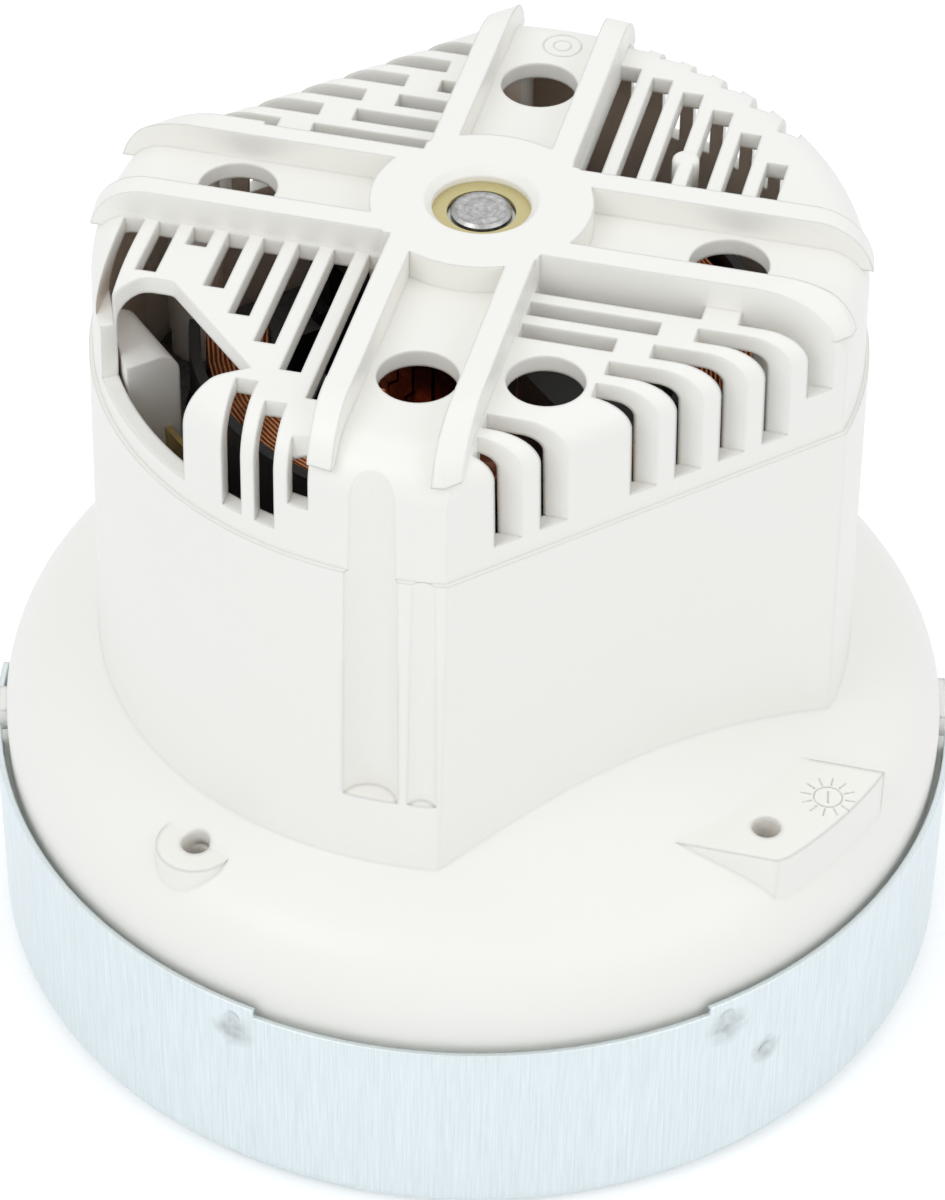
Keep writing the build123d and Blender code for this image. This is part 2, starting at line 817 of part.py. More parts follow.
def wire_place(radius, side, end, out):
    """A point on a loop: at its side, -1 or 1, and end, -1 or 1, and out from 0, end, to 1, side."""
    turn = coil_side + wire_seat + wire_radius
    height = coil_half_height + wire_seat + wire_radius
    x, y = polar(radius, side * coil_angle)
    along = turn * math.sin(math.radians(QUARTER_TURN * out))
    up = height - turn + turn * math.cos(math.radians(QUARTER_TURN * out))
    lean = math.radians(side * coil_angle)
    return Vector(
        x - side * along * math.sin(lean), y + side * along * math.cos(lean),
        (core_top + core_bottom) / 2 + end * up)


def wire_corner(radius, side, end, outwards):
    """The quarter turn between the end and the side of a loop."""
    outs = (0, 1 / 2, 1) if outwards else (1, 1 / 2, 0)
    return ThreePointArc(*[wire_place(radius, side, end, out) for out in outs])


def wire_end(radius, side, end):
    """The run of a loop over the end of its pole, starting at a side."""
    height = wire_place(radius, side, end, 0).Z
    return ThreePointArc(
        wire_place(radius, side, end, 0), Vector(radius, 0, height), wire_place(radius, -side, end, 0))


def wire_rise(start, end):
    """The upright run that leads from one loop to the next."""
    third = Vector(0, 0, (end.Z - start.Z) / 3)
    return Bezier(start, start + third, end - third, end)


def wire_line():
    """The line of a coil's outer layer: every loop, end to end."""
    edges = []
    for loop in range(wire_loops):
        radius = wire_first + wire_pitch * loop
        if loop:
            edges.append(wire_rise(
                wire_place(radius - wire_pitch, 1, -1, 1), wire_place(radius, 1, 1, 1)))
        edges += [
            wire_corner(radius, 1, 1, False), wire_end(radius, 1, 1), wire_corner(radius, -1, 1, True),
            Line(wire_place(radius, -1, 1, 1), wire_place(radius, -1, -1, 1)),
            wire_corner(radius, -1, -1, False), wire_end(radius, -1, -1), wire_corner(radius, 1, -1, True)]
    return edges


def wire_gap(edges):
    """The least gap of the wire to itself, between places over four edges apart."""
    shares = [place / gap_samples for place in range(gap_samples)]
    points = [[edge @ share for share in shares] for edge in edges]
    nearest = min(
        (p - q).length
        for place, here in enumerate(points) for there in points[place + 5:] for p in here for q in there)
    return nearest - 2 * wire_radius


def field_coil(front):
    """One field coil: its core and the outer layer of wire."""
    edges = wire_line()
    path = Wire(edges)
    section = Plane(origin=path @ 0, z_dir=path % 0) * RegularPolygon(wire_radius, 6)
    layer = sweep(section, path)
    return [on_pole_line(coil_core(), front), on_pole_line(layer, front)]


def coil_former(front):
    """The black former of one field coil, with its curved flanges."""
    floor = core_top + former_floor
    outer = (-former_outer_angle, former_outer_angle)
    inner = (-former_inner_angle, former_inner_angle)
    flanges = sector(former_near, former_far, core_top, floor, outer)
    flanges += sector(former_far - former_wall, former_far, core_top, core_top + former_outer_rise, outer)
    flanges += sector(former_near, former_near + former_wall, core_top, core_top + former_inner_rise, inner)
    liner = block(former_near, former_far - former_wall, pole_half, pole_half + former_liner,
                  core_bottom, core_top)
    former = Part() + [*both_ends(flanges), liner, mirror(liner, Plane.XZ)]
    return on_pole_line(former, front)


# Brushes

def brush_hole(grow):
    """Half width, bottom and top of the passage for a brush, grown by a wall."""
    half = brush_width / 2 + tube_clearance + grow
    rise = brush_height / 2 + tube_clearance + grow
    return half, brush_middle - rise, brush_middle + rise


def brush(right):
    """A carbon brush, hollowed to the commutator."""
    start = commutator_radius + brush_gap
    half, rise = brush_width / 2, brush_height / 2
    carbon = block(0, start + brush_length, -half, half, brush_middle - rise, brush_middle + rise)
    return on_brush_line(carbon - disc(start, bar_bottom, bar_top), right)


def brush_tube(right):
    """The brass tube that a brush slides in."""
    half, low, high = brush_hole(tube_wall)
    sleeve = block(tube_inner_end, tube_outer_end, -half, half, low, high)
    half, low, high = brush_hole(0.0)
    return on_brush_line(sleeve - block(0, cover_radius, -half, half, low, high), right)


def brush_cap(right):
    """The brass end of a brush tube, which the spring pushes on."""
    half, low, high = brush_hole(tube_wall)
    return on_brush_line(
        block(tube_outer_end, tube_outer_end + tube_cap_thickness, -half, half, low, high), right)


def brush_holder(right):
    """The black holder that stands on the stator and grips a brush tube."""
    half, low, high = brush_hole(tube_wall + holder_wall)
    holder = block(holder_inner_end, holder_outer_end, -half, half, low, high)
    holder += block(holder_pillar_start, holder_outer_end, -half, half, core_top, low)
    holder += block(holder_foot_start, holder_outer_end, -holder_foot_half, holder_foot_half,
                    core_top, core_top + holder_foot_thickness)
    half, low, high = brush_hole(tube_wall)
    return on_brush_line(holder - block(0, cover_radius, -half, half, low, high), right)


def brush_spring(right):
    """The spring behind a brush."""
    start = commutator_radius + brush_gap + brush_length + spring_wire + spring_play
    length = tube_outer_end - spring_wire - spring_play - start
    path = Helix(pitch=length / spring_turns, height=length, radius=spring_radius)
    wire = sweep(Plane(origin=path @ 0, z_dir=path % 0) * Circle(spring_wire), path)
    return on_brush_line(Pos(start, 0, brush_middle) * (Rot(0, QUARTER_TURN, 0) * wire), right)


# Terminals

def blade_boxes():
    """The two blades, before the turn to the front pole."""
    face = -block_face_y
    return [
        block(x, x + blade_thickness, face - blade_root, face + blade_reach, blade_bottom,
              blade_bottom + blade_width)
        for x in blade_places]


def terminal_block():
    """The white block just inside the window."""
    side = outline(
        (block_near, core_top, 0), (block_radius, core_top, 0), (block_radius, block_top, 0),
        (block_near, block_top, block_corner))
    body = extrude(Pos(0, -block_face_y, 0) * (Plane.XZ * side), block_back_y - block_face_y)
    body = body & disc(block_radius, core_top, block_top)
    return on_pole_line(body - blade_boxes(), front=True)


def terminal_blades():
    """The two blades of the terminal block."""
    return [on_pole_line(blade, front=True) for blade in blade_boxes()]


# Impeller and diffuser

def curved_strip(inner, outer, angle, thickness):
    """A thin plan strip that runs from inner to outer and leans back by an angle."""
    start, end = Vector(*polar(inner, 0)), Vector(*polar(outer, -angle))
    middle = Vector(*polar((inner + outer) / 2, -angle * lean_share))
    spine = ThreePointArc(start, middle, end)
    return trace(spine, thickness)


def impeller_back():
    """The back disc of the impeller."""
    return tube(shaft_journal, impeller_radius, impeller_back_bottom, impeller_back_bottom + impeller_sheet)


def impeller_front():
    """The front disc of the impeller, with its neck round the eye."""
    return turned(
        (impeller_eye, impeller_neck_bottom, 0), (impeller_eye + impeller_sheet, impeller_neck_bottom, 0),
        (impeller_eye + impeller_sheet, impeller_front_low, 0), (impeller_radius, impeller_front_high, 0),
        (impeller_radius, impeller_front_high + impeller_sheet, 0),
        (impeller_eye, impeller_front_low + impeller_sheet, 0))


def impeller_vanes():
    """The curved vanes between the discs of the impeller."""
    strip = curved_strip(impeller_vane_start, impeller_radius, impeller_vane_angle, impeller_vane_thickness)
    vane = extrude(Pos(0, 0, impeller_front_low) * strip, impeller_back_bottom - impeller_front_low)
    between = turned(
        (0, impeller_front_low + impeller_sheet, 0), (impeller_eye, impeller_front_low + impeller_sheet, 0),
        (impeller_radius, impeller_front_high + impeller_sheet, 0),
        (impeller_radius, impeller_back_bottom, 0), (0, impeller_back_bottom, 0))
    return around(vane & between, impeller_vane_count)


def impeller_nut():
    """The nut at the foot of the shaft."""
    top = impeller_back_bottom - washer_thickness
    across = RegularPolygon(nut_flats / 2, 6, major_radius=False)
    nut = extrude(Pos(0, 0, top - nut_height) * across, nut_height)
    return nut - disc(shaft_journal, 0, rim_high)


def diffuser():
    """The plastic plate with guide vanes round the impeller and return vanes above."""
    top = diffuser_plate_bottom + diffuser_plate_thickness
    body = tube(diffuser_hole, diffuser_radius, diffuser_plate_bottom, top)
    guide = curved_strip(guide_inner, guide_outer, guide_angle, guide_thickness)
    guide = extrude(Pos(0, 0, cover_sheet) * guide, diffuser_plate_bottom - cover_sheet)
    back = curved_strip(return_inner, return_outer, return_angle, return_thickness)
    back = extrude(Pos(0, 0, top) * back, bridge_rim_bottom - top)
    return body + around(guide, guide_count) + around(back, return_count)


def pieces():
    """Every node of the unit by name."""
    neck = core_top + end_disc_thickness
    spacer_bottom = impeller_back_bottom + impeller_sheet
    upper_top = upper_bearing_bottom + bearing_width
    found = {
        "motor_housing": motor_housing(),
        "fan_cover": fan_cover(),
        "diffuser": diffuser(),
        "bearing_bridge": bearing_bridge(),
        "bridge_screws": bridge_screws(),
        "bearing_cap": bearing_cap(),
        "upper_bearing_damper": tube(
            bearing_outer, bearing_outer + damper_thickness, upper_bearing_bottom, upper_top),
        "upper_outer_ring": outer_ring(upper_bearing_bottom),
        "lower_outer_ring": outer_ring(lower_bearing_bottom),
        "upper_inner_ring": inner_ring(upper_bearing_bottom),
        "lower_inner_ring": inner_ring(lower_bearing_bottom),
        "upper_balls": balls(upper_bearing_bottom),
        "lower_balls": balls(lower_bearing_bottom),
        "upper_cage": cage(upper_bearing_bottom),
        "lower_cage": cage(lower_bearing_bottom),
        "shaft": shaft(),
        "rotor_core": rotor_core(),
        "upper_end_disc": end_disc(core_top),
        "lower_end_disc": end_disc(core_bottom - end_disc_thickness),
        "armature_winding": armature_winding(),
        "shaft_sleeve": tube(shaft_body, sleeve_radius, neck, commutator_bottom),
        "commutator_hub": tube(
            shaft_body, commutator_hub_radius, commutator_bottom, commutator_top),
        "commutator_bars": commutator_bars(),
        "stator_core": stator_core(),
        "stator_bolts": stator_bolts(),
        "terminal_block": terminal_block(),
        "terminal_blades": terminal_blades(),
        "impeller_back": impeller_back(),
        "impeller_front": impeller_front(),
        "impeller_vanes": impeller_vanes(),
        "impeller_spacer": tube(shaft_journal, spacer_radius, spacer_bottom, lower_bearing_bottom),
        "impeller_washer": tube(
            shaft_journal, washer_radius, impeller_back_bottom - washer_thickness, impeller_back_bottom),
        "impeller_nut": impeller_nut(),
    }
    for side, front in (("front", True), ("rear", False)):
        found[f"field_coil_{side}"] = field_coil(front)
        found[f"coil_former_{side}"] = coil_former(front)
    for side, right in (("right", True), ("left", False)):
        found[f"brush_{side}"] = brush(right)
        found[f"brush_tube_{side}"] = brush_tube(right)
        found[f"brush_cap_{side}"] = brush_cap(right)
        found[f"brush_holder_{side}"] = brush_holder(right)
        found[f"brush_spring_{side}"] = brush_spring(right)
    return found


def main():
    os.makedirs("parts", exist_ok=True)
    print("least gap of the field wire to itself, mm:", wire_gap(wire_line()))
    for name, shape in pieces().items():
        solids = shape if isinstance(shape, list) else shape.solids()
        whole = solids[0] if len(solids) == 1 else Compound(children=list(solids))
        export_step(whole, f"parts/{name}.step")


main()
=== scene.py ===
import json
import math
import random

import bmesh
import bpy
from mathutils import Matrix, Vector


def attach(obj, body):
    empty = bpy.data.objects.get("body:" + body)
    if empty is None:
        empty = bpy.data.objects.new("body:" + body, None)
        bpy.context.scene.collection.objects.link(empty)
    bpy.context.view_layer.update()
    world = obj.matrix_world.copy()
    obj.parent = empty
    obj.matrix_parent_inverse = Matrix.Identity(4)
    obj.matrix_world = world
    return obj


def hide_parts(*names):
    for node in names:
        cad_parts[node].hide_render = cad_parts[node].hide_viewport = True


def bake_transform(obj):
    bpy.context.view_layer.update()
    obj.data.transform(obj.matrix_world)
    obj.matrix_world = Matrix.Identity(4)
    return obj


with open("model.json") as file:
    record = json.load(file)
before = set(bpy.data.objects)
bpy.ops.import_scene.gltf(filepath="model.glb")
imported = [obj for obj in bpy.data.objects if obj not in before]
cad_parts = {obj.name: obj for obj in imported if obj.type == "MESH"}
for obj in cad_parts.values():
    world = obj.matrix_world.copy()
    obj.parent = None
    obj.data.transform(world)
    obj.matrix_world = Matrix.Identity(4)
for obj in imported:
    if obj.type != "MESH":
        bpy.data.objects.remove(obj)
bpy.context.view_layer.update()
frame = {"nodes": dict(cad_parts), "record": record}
MM = 0.001

# The photograph's camera, fitted on the arm holes, the hub and the cover's rim
PHOTO_HEIGHT = 1200.0
FOCAL_PIXELS = 4305.85
SENSOR = 36.0
AZIMUTH = math.radians(13.32)
ELEVATION = math.radians(41.32)
ROLL = math.radians(0.93)
DISTANCE = 595.58 * MM
SIDE_SHIFT = -0.40 * MM
RISE_SHIFT = -3.59 * MM
TARGET = Vector((0.0, 0.0, 55.0 * MM))
NEAREST_SEEN = 0.01
FARTHEST_SEEN = 20.0


def place_camera():
    """Stands the camera where the photograph was taken from."""
    back = Vector((
        math.sin(AZIMUTH) * math.cos(ELEVATION), -math.cos(AZIMUTH) * math.cos(ELEVATION),
        math.sin(ELEVATION)))
    right = Vector((math.cos(AZIMUTH), math.sin(AZIMUTH), 0.0))
    up = back.cross(right)
    side = math.cos(ROLL) * right + math.sin(ROLL) * up
    rise = -math.sin(ROLL) * right + math.cos(ROLL) * up
    eye = TARGET + back * DISTANCE + side * SIDE_SHIFT + rise * RISE_SHIFT
    data = bpy.data.cameras.new("photo_camera")
    data.sensor_width = SENSOR
    data.lens = FOCAL_PIXELS * SENSOR / PHOTO_HEIGHT
    data.clip_start = NEAREST_SEEN
    data.clip_end = FARTHEST_SEEN
    camera = bpy.data.objects.new("photo_camera", data)
    bpy.context.scene.collection.objects.link(camera)
    turn = Matrix((side, rise, back)).transposed().to_4x4()
    camera.matrix_world = Matrix.Translation(eye) @ turn
    bpy.context.scene.camera = camera


place_camera()


# Shader groups, each used by several materials

SURFACE_OUTPUTS = [
    ("Color", "NodeSocketColor"), ("Roughness", "NodeSocketFloat"), ("Height", "NodeSocketFloat")]
STROKE_STRETCH = 0.03


def new_group(name, inputs, outputs):
    """An empty shader group with the inputs and outputs named."""
    group = bpy.data.node_groups.new(name, "ShaderNodeTree")
    for socket, kind, value in inputs:
        group.interface.new_socket(socket, in_out="INPUT", socket_type=kind).default_value = value
    for socket, kind in outputs:
        group.interface.new_socket(socket, in_out="OUTPUT", socket_type=kind)
    return group, group.nodes.new("NodeGroupInput"), group.nodes.new("NodeGroupOutput")


def colour_inputs(color, shade):
    """The two colours that a group blends."""
    return [
        ("Color", "NodeSocketColor", (color, color, color, 1.0)),
        ("Shade", "NodeSocketColor", (shade, shade, shade, 1.0))]


def object_place(group, scale=(1.0, 1.0, 1.0)):
    """Object coordinates, stretched."""
    place = group.nodes.new("ShaderNodeTexCoord")
    stretch = group.nodes.new("ShaderNodeMapping")
    stretch.inputs["Scale"].default_value = scale
    group.links.new(place.outputs["Object"], stretch.inputs["Vector"])
    return stretch.outputs["Vector"]


def noise(group, place, scale, detail):
    """A noise texture at a place, with its scale from the group's input."""
    texture = group.nodes.new("ShaderNodeTexNoise")
    texture.inputs["Detail"].default_value = detail
    group.links.new(place, texture.inputs["Vector"])
    group.links.new(scale, texture.inputs["Scale"])
    return texture


def ranged(group, value, low, high):
    """A value brought from a range to zero and one."""
    level = group.nodes.new("ShaderNodeMapRange")
    level.inputs["From Min"].default_value = low
    level.inputs["From Max"].default_value = high
    group.links.new(value, level.inputs["Value"])
    return level.outputs["Result"]


def product(group, first, second):
    """Two values multiplied."""
    both = group.nodes.new("ShaderNodeMath")
    both.operation = "MULTIPLY"
    group.links.new(first, both.inputs[0])
    group.links.new(second, both.inputs[1])
    return both.outputs["Value"]


def blended(group, factor, first, second):
    """A colour between two others."""
    blend = group.nodes.new("ShaderNodeMix")
    blend.data_type = "RGBA"
    group.links.new(factor, blend.inputs["Factor"])
    group.links.new(first, blend.inputs["A"])
    group.links.new(second, blend.inputs["B"])
    return blend.outputs["Result"]


def roughened(group, given, factor):
    """The roughness given, with its spread by a factor."""
    rough = group.nodes.new("ShaderNodeMath")
    rough.operation = "MULTIPLY_ADD"
    group.links.new(factor, rough.inputs[0])
    group.links.new(given.outputs["Roughness Spread"], rough.inputs[1])
    group.links.new(given.outputs["Roughness"], rough.inputs[2])
    return rough.outputs["Value"]


def give_out(group, out, **results):
    """Links results to the group's outputs of the same name."""
    for socket, result in results.items():
        group.links.new(result, out.inputs[socket])
    return group


def build_mottle():
    """Soft cloudy variation of a colour, with a fine grain for the surface."""
    group, given, out = new_group(
        "mottle",
        [*colour_inputs(0.8, 0.7), ("Cloud Scale", "NodeSocketFloat", 60.0),
         ("Grain Scale", "NodeSocketFloat", 2500.0), ("Roughness", "NodeSocketFloat", 0.5),
         ("Roughness Spread", "NodeSocketFloat", 0.1)],
        SURFACE_OUTPUTS)
    place = object_place(group)
    cloud = noise(group, place, given.outputs["Cloud Scale"], 3.0).outputs["Fac"]
    grain = noise(group, place, given.outputs["Grain Scale"], 2.0).outputs["Fac"]
    return give_out(
        group, out, Color=blended(group, cloud, given.outputs["Color"], given.outputs["Shade"]),
        Roughness=roughened(group, given, cloud), Height=grain)


def build_brushing():
    """Long fine strokes along Z, as rolled or brushed metal has."""
    group, given, out = new_group(
        "brushing",
        [*colour_inputs(0.7, 0.6), ("Scale", "NodeSocketFloat", 900.0),
         ("Roughness", "NodeSocketFloat", 0.3), ("Roughness Spread", "NodeSocketFloat", 0.2)],
        SURFACE_OUTPUTS)
    place = object_place(group, (1.0, 1.0, STROKE_STRETCH))
    stroke = noise(group, place, given.outputs["Scale"], 4.0)
    stroke.inputs["Roughness"].default_value = 0.65
    spread = ranged(group, stroke.outputs["Fac"], 0.3, 0.7)
    return give_out(
        group, out, Color=blended(group, spread, given.outputs["Color"], given.outputs["Shade"]),
        Roughness=roughened(group, given, spread), Height=stroke.outputs["Fac"])


def build_turning():
    """Fine rings about the shaft's axis, as a lathe leaves them, broken by small pits."""
    group, given, out = new_group(
        "turning",
        [*colour_inputs(0.7, 0.5), ("Scale", "NodeSocketFloat", 900.0),
         ("Pit Scale", "NodeSocketFloat", 1400.0), ("Roughness", "NodeSocketFloat", 0.3),
         ("Roughness Spread", "NodeSocketFloat", 0.2)],
        SURFACE_OUTPUTS)
    reach = group.nodes.new("ShaderNodeVectorMath")
    reach.operation = "LENGTH"
    group.links.new(object_place(group, (1.0, 1.0, 0.0)), reach.inputs[0])
    rings = group.nodes.new("ShaderNodeTexNoise")
    rings.noise_dimensions = "1D"
    rings.inputs["Detail"].default_value = 3.0
    group.links.new(reach.outputs["Value"], rings.inputs["W"])
    group.links.new(given.outputs["Scale"], rings.inputs["Scale"])
    pits = noise(group, object_place(group), given.outputs["Pit Scale"], 2.0)
    spread = ranged(group, product(group, rings.outputs["Fac"], pits.outputs["Fac"]), 0.12, 0.40)
    return give_out(
        group, out, Color=blended(group, spread, given.outputs["Shade"], given.outputs["Color"]),
        Roughness=roughened(group, given, spread), Height=spread)


def build_softening():
    """A normal that rounds the edges, by one radius low down and by another higher up."""
    group, given, out = new_group(
        "soft_edges",
        [("Low Radius", "NodeSocketFloat", 0.0005), ("High Radius", "NodeSocketFloat", 0.0005),
         ("Height From", "NodeSocketFloat", 0.08), ("Height To", "NodeSocketFloat", 0.085)],
        [("Normal", "NodeSocketVector")])
    apart = group.nodes.new("ShaderNodeSeparateXYZ")
    group.links.new(object_place(group), apart.inputs[0])
    radius = group.nodes.new("ShaderNodeMapRange")
    radius.interpolation_type = "SMOOTHSTEP"
    group.links.new(apart.outputs["Z"], radius.inputs["Value"])
    group.links.new(given.outputs["Height From"], radius.inputs["From Min"])
    group.links.new(given.outputs["Height To"], radius.inputs["From Max"])
    group.links.new(given.outputs["Low Radius"], radius.inputs["To Min"])
    group.links.new(given.outputs["High Radius"], radius.inputs["To Max"])
    bevel = group.nodes.new("ShaderNodeBevel")
    bevel.samples = 8
    group.links.new(radius.outputs["Result"], bevel.inputs["Radius"])
    return give_out(group, out, Normal=bevel.outputs["Normal"])


def build_rub_and_dent_shade():
    """A dull, uneven darker patch round one place of a surface: real rubbed smudges, and painted shade where
    a dent is.
    """
    group, given, out = new_group(
        "rub_and_dent_shade",
        [*colour_inputs(0.8, 0.4), ("Place", "NodeSocketVector", (0.0, 0.0, 0.0)),
         ("Reach", "NodeSocketFloat", 0.004), ("Grain Scale", "NodeSocketFloat", 520.0)],
        [("Color", "NodeSocketColor")])
    place = object_place(group)
    away = group.nodes.new("ShaderNodeVectorMath")
    away.operation = "DISTANCE"
    group.links.new(place, away.inputs[0])
    group.links.new(given.outputs["Place"], away.inputs[1])
    fall = group.nodes.new("ShaderNodeMapRange")
    fall.inputs["To Min"].default_value = 1.0
    fall.inputs["To Max"].default_value = 0.0
    group.links.new(away.outputs["Value"], fall.inputs["Value"])
    group.links.new(given.outputs["Reach"], fall.inputs["From Max"])
    grain = noise(group, place, given.outputs["Grain Scale"], 4.0).outputs["Fac"]
    patch = ranged(group, product(group, fall.outputs["Result"], grain), 0.12, 0.50)
    return give_out(
        group, out, Color=blended(group, patch, given.outputs["Color"], given.outputs["Shade"]))


def build_inside():
    """Painted shade: a warm, darker tone on walls that face the axis, below the top plate."""
    group, given, out = new_group(
        "inside_tone",
        [("Color", "NodeSocketColor", (0.9, 0.9, 0.85, 1.0)),
         ("Inside", "NodeSocketColor", (0.7, 0.6, 0.5, 1.0))],
        [("Color", "NodeSocketColor")])
    outward = group.nodes.new("ShaderNodeVectorMath")
    outward.operation = "NORMALIZE"
    group.links.new(object_place(group, (1.0, 1.0, 0.0)), outward.inputs[0])
    shape = group.nodes.new("ShaderNodeNewGeometry")
    facing = group.nodes.new("ShaderNodeVectorMath")
    facing.operation = "DOT_PRODUCT"
    group.links.new(outward.outputs["Vector"], facing.inputs[0])
    group.links.new(shape.outputs["True Normal"], facing.inputs[1])
    inner = ranged(group, facing.outputs["Value"], -0.70, -0.85)
    apart = group.nodes.new("ShaderNodeSeparateXYZ")
    group.links.new(object_place(group), apart.inputs[0])
    below = ranged(group, apart.outputs["Z"], 0.1125, 0.1095)
    both = product(group, inner, below)
    return give_out(
        group, out, Color=blended(group, both, given.outputs["Color"], given.outputs["Inside"]))


MOTTLE = build_mottle()
BRUSHING = build_brushing()
TURNING = build_turning()
SOFTENING = build_softening()
RUB_AND_DENT_SHADE = build_rub_and_dent_shade()
PAINTED_INNER_SHADE = build_inside()


# Materials

def new_material(name):
    """A material with its Principled shader, ready for links."""
    material = bpy.data.materials.new(name)
    material.use_nodes = True
    return material, material.node_tree, material.node_tree.nodes["Principled BSDF"]


def add_effect(tree, group, values):
    """A shared group in a material, with its values."""
    effect = tree.nodes.new("ShaderNodeGroup")
    effect.node_tree = group
    for socket, value in values.items():
        effect.inputs[socket].default_value = value
    return effect


def finish_material(
        name, group, values, bump, metallic=0.0, coat=0.0, edge=0.0, low_edge=0.0, rubbed=(), inside=None):
    """A material whose colour, roughness and bump come from the shared groups."""
    material, tree, shader = new_material(name)
    effect = add_effect(tree, group, values)
    tree.links.new(effect.outputs["Roughness"], shader.inputs["Roughness"])
    lift = tree.nodes.new("ShaderNodeBump")
    lift.inputs["Distance"].default_value = bump
    lift.inputs["Strength"].default_value = 1.0
    tree.links.new(effect.outputs["Height"], lift.inputs["Height"])
    if edge:
        soften = add_effect(tree, SOFTENING, {"High Radius": edge, "Low Radius": low_edge or edge})
        tree.links.new(soften.outputs["Normal"], lift.inputs["Normal"])
    color = effect.outputs["Color"]
    # Darker patches: rubbed smudges, and painted shade where the cover is dented.
    for place, reach in rubbed:
        patch = add_effect(tree, RUB_AND_DENT_SHADE, {"Shade": RUB_AND_DENT_SHADE_COLOR, "Place": place, "Reach": reach})
        tree.links.new(color, patch.inputs["Color"])
        color = patch.outputs["Color"]
    # Painted shade: walls facing the axis under the top plate take a warm, darker colour.
    if inside:
        tone = add_effect(tree, PAINTED_INNER_SHADE, {"Inside": (*inside, 1.0)})
        tree.links.new(color, tone.inputs["Color"])
        color = tone.outputs["Color"]
    tree.links.new(color, shader.inputs["Base Color"])
    tree.links.new(lift.outputs["Normal"], shader.inputs["Normal"])
    shader.inputs["Metallic"].default_value = metallic
    shader.inputs["Coat Weight"].default_value = coat
    return material


def mottled(name, color, shade, rough, spread, bump, cloud=60.0, grain=2500.0, **more):
    """A moulded or cast surface."""
    values = {
        "Color": (*color, 1.0), "Shade": (*shade, 1.0), "Cloud Scale": cloud, "Grain Scale": grain,
        "Roughness": rough, "Roughness Spread": spread}
    return finish_material(name, MOTTLE, values, bump, **more)


def worked(name, group, color, shade, rough, spread, bump, scale=900.0, **more):
    """A metal surface with the marks of its tool."""
    values = {
        "Color": (*color, 1.0), "Shade": (*shade, 1.0), "Scale": scale, "Roughness": rough,
        "Roughness Spread": spread}
    return finish_material(name, group, values, bump, metallic=1.0, **more)


def lathed(name, *look, **more):
    """A turned metal end."""
    return worked(name, TURNING, *look, **more)


def brushed(name, *look, **more):
    """A rolled, ground or brushed metal surface."""
    return worked(name, BRUSHING, *look, **more)


COVER_RADIUS = 67.5
RUB_AND_DENT_SHADE_COLOR = (0.46, 0.49, 0.50, 1.0)


def on_cover(angle, height):
    """A place on the outside of the steel cover, from degrees and millimetres."""
    turn = math.radians(angle)
    return Vector((COVER_RADIUS * math.cos(turn), COVER_RADIUS * math.sin(turn), height)) * MM


# The white moulding carries painted shade: its inner walls below the top plate are given a warm, darker
# colour.
WHITE = mottled(
    "white_moulding", (0.895, 0.882, 0.835), (0.880, 0.865, 0.812), 0.36, 0.08, 0.00001, edge=0.0006,
    low_edge=0.0013, inside=(0.78, 0.65, 0.53))
GREY = mottled("grey_moulding", (0.10, 0.10, 0.105), (0.08, 0.08, 0.085), 0.5, 0.1, 0.00001)
BLACK = mottled("black_moulding", (0.018, 0.017, 0.018), (0.012, 0.012, 0.013), 0.42, 0.1, 0.00001)
RUBBER = mottled("black_rubber", (0.02, 0.02, 0.02), (0.014, 0.014, 0.014), 0.75, 0.1, 0.00001)
CARBON = mottled("pressed_carbon", (0.03, 0.03, 0.032), (0.02, 0.02, 0.021), 0.55, 0.15, 0.00001)
# Two darker patches on the cover are rubbed crimp smudges, at 255.8 and 313.9 degrees. The third, at 319.6
# degrees, is painted shade for a dent.
COVER = brushed(
    "galvanised_sheet", (0.765, 0.825, 0.840), (0.660, 0.725, 0.745), 0.32, 0.12, 0.0000015, scale=3600.0,
    edge=0.0004, rubbed=[
        (on_cover(255.8, 26.6), 0.0044), (on_cover(313.9, 26.9), 0.0050), (on_cover(319.6, 18.75), 0.0036)])
GROUND = brushed("ground_steel", (0.56, 0.57, 0.59), (0.46, 0.47, 0.49), 0.28, 0.12, 0.000002, scale=1800.0)
TURNED = lathed("turned_steel", (0.60, 0.60, 0.60), (0.30, 0.30, 0.30), 0.26, 0.14, 0.00002, scale=1600.0)
SPRING = brushed("spring_wire", (0.50, 0.51, 0.53), (0.40, 0.41, 0.43), 0.28, 0.1, 0.000002, scale=1800.0)
SCREW = brushed("zinc_plate", (0.62, 0.63, 0.64), (0.52, 0.53, 0.54), 0.32, 0.12, 0.000002, scale=1500.0)
LAMINATION = brushed("lamination_steel", (0.22, 0.22, 0.23), (0.15, 0.15, 0.155), 0.45, 0.15, 0.000005)
GOLD = mottled(
    "straw_ring", (0.60, 0.53, 0.27), (0.54, 0.47, 0.23), 0.30, 0.08, 0.000004, metallic=0.55)
# Painted highlights and shade: the wire's cloudy mottle swings from bright orange to near black, so glints
# and dark gaps sit in the colour itself.
COPPER_WITH_PAINTED_GLINTS = mottled(
    "copper_with_painted_glints", (1.0, 0.44, 0.18), (0.20, 0.045, 0.02), 0.20, 0.10, 0.000004, metallic=0.85,
    cloud=260.0, coat=0.4)
DARK_COPPER = mottled(
    "varnished_copper", (0.42, 0.14, 0.065), (0.24, 0.07, 0.035), 0.30, 0.10, 0.000004, metallic=0.6,
    cloud=260.0, coat=0.4)
BARS = lathed("turned_copper", (0.36, 0.13, 0.07), (0.20, 0.065, 0.035), 0.28, 0.1, 0.000002)
BRASS = brushed("rolled_brass", (0.70, 0.55, 0.25), (0.60, 0.46, 0.20), 0.3, 0.1, 0.000002)
ALUMINIUM = brushed("rolled_aluminium", (0.72, 0.73, 0.74), (0.64, 0.65, 0.66), 0.34, 0.12, 0.000003)
